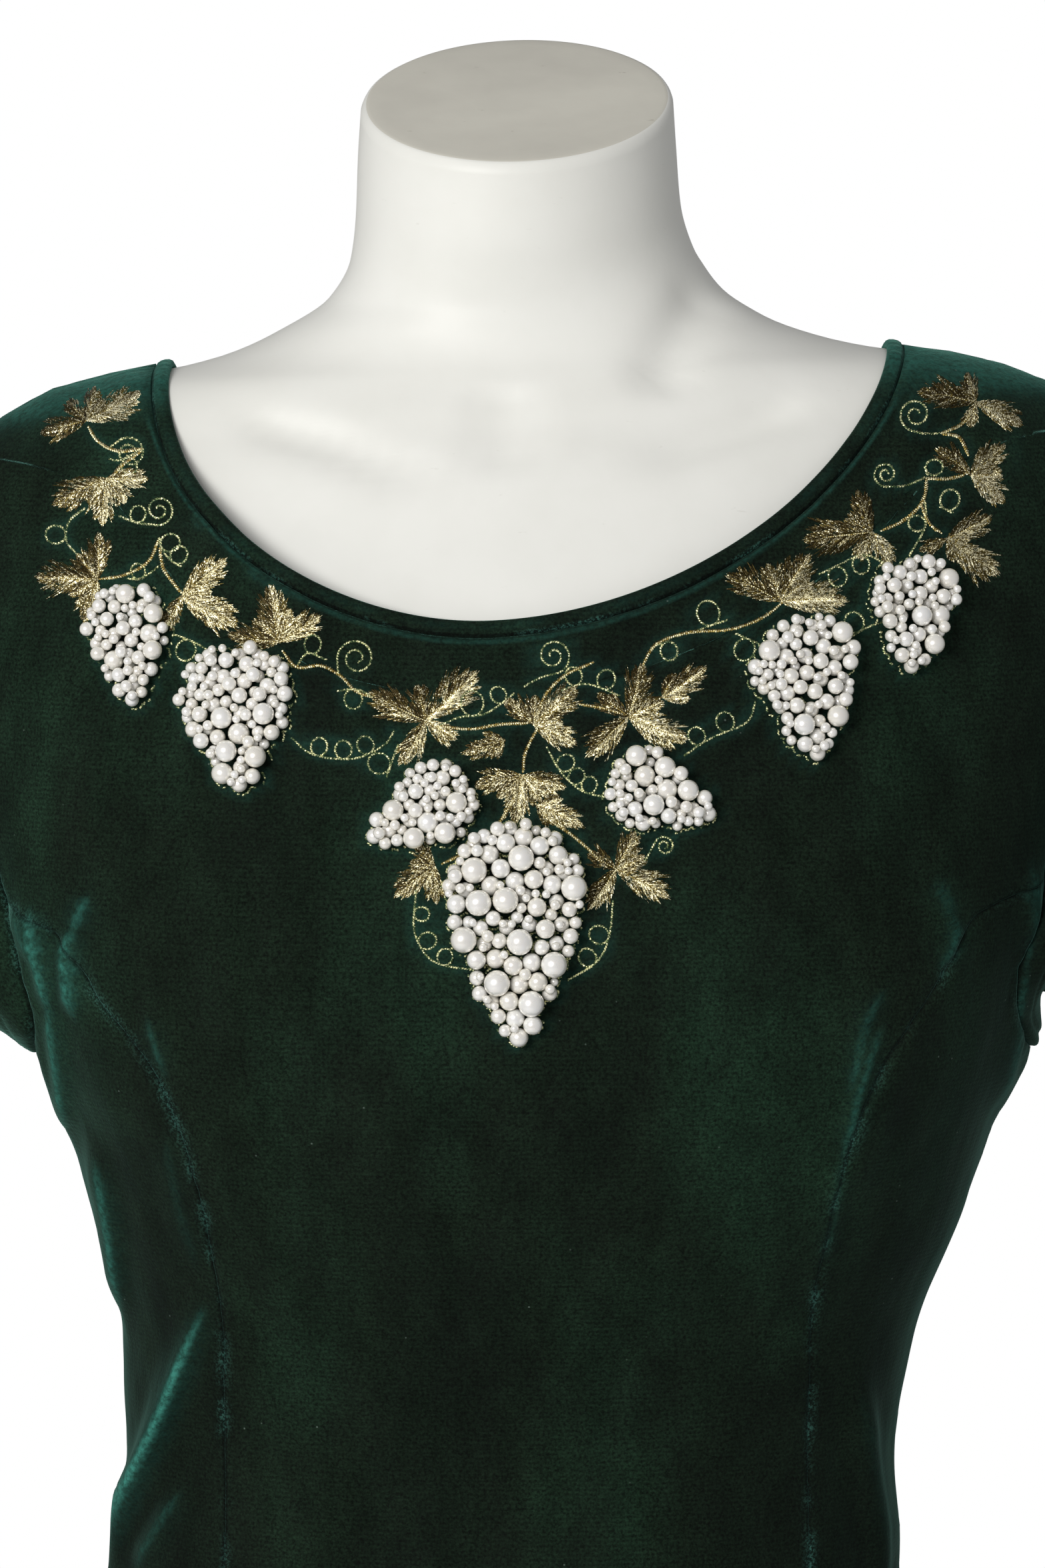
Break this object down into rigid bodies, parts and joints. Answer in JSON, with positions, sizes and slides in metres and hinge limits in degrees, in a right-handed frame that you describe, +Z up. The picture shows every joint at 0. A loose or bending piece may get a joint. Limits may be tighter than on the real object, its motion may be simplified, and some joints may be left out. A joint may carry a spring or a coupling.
{
  "type": "cocktail dress on a dress form",
  "caption": "Knee-length A-line velvet cocktail dress with short sleeves, scoop neck and pearl bunches, on a limbless dress form with pole and round foot.",
  "frame": {"origin": "on the floor, at the middle of the round foot's underside", "axes": "+Z up; the front of the dress faces -Y; +X is the wearer's left, the viewer's right"},
  "size_m": [0.5616, 0.4263, 1.5243],
  "materials": {
    "velvet": "dark green pile velvet with metallic gold embroidery",
    "pearl": "cream pearl beads on a stitched backing",
    "zip_metal": "green enamelled zip slider and pull",
    "form_shell": "white satin paint on a moulded shell",
    "stand_metal": "satin steel"
  },
  "bodies": {
    "dress_and_form": {"front_centre": "velvet", "side_front_right": "velvet", "side_front_left": "velvet", "back_right": "velvet", "back_left": "velvet", "sleeve_right": "velvet", "sleeve_left": "velvet", "neck_binding": "velvet", "pearls_1": "pearl", "pearls_2": "pearl", "pearls_3": "pearl", "pearls_4": "pearl", "pearls_5": "pearl", "pearls_6": "pearl", "pearls_7": "pearl", "zip_slider": "zip_metal", "form_torso": "form_shell", "stand_pole": "stand_metal", "stand_foot": "stand_metal"},
    "pull": {"zip_pull": "zip_metal"}
  },
  "joints": [
    {"name": "zip_pull_hinge", "type": "hinge", "parent": "dress_and_form", "child": "pull", "pos_m": [0, 0.09464, 1.34797], "axis": [1, 0, 0], "range_deg": [0, 165]}
  ]
}
